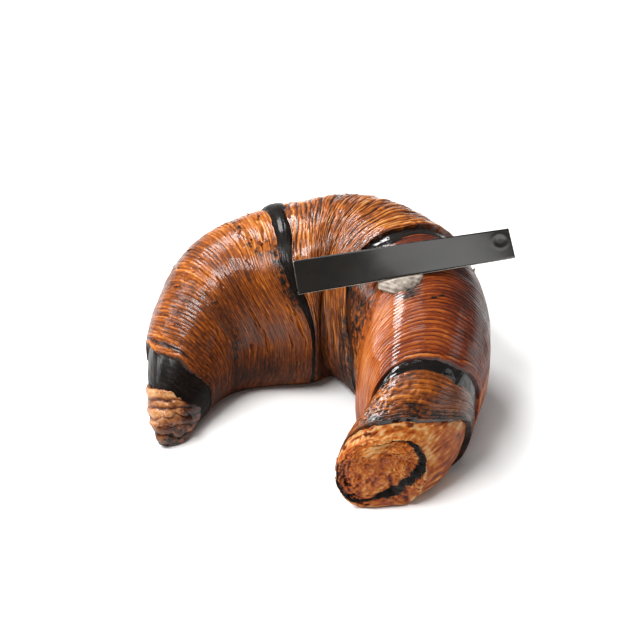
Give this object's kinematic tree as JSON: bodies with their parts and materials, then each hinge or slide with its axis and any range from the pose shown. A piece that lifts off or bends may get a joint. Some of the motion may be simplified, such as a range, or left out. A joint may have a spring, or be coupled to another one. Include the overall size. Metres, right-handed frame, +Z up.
{
  "type": "black sesame croissant",
  "caption": "Curved laminated croissant with dark sesame layers, spiral end and a blank name strip set in a dab of cream.",
  "frame": {"origin": "middle of the footprint box, on the surface the croissant stands on", "axes": "+Z up; +X along the croissant's width from the small left tip to the thick right arm; the bay between the arms opens towards -Y"},
  "size_m": [0.1222, 0.104, 0.0718],
  "materials": {
    "glazed_crust": "sugar-glazed baked laminated dough, brown to amber, with black sesame layers",
    "cream": "matt off-white cream with fine specks",
    "strip_plastic": "satin black thin plastic, bare face"
  },
  "bodies": {
    "root": {"croissant": "glazed_crust", "cream_dab": "cream", "name_strip": "strip_plastic"}
  },
  "joints": []
}
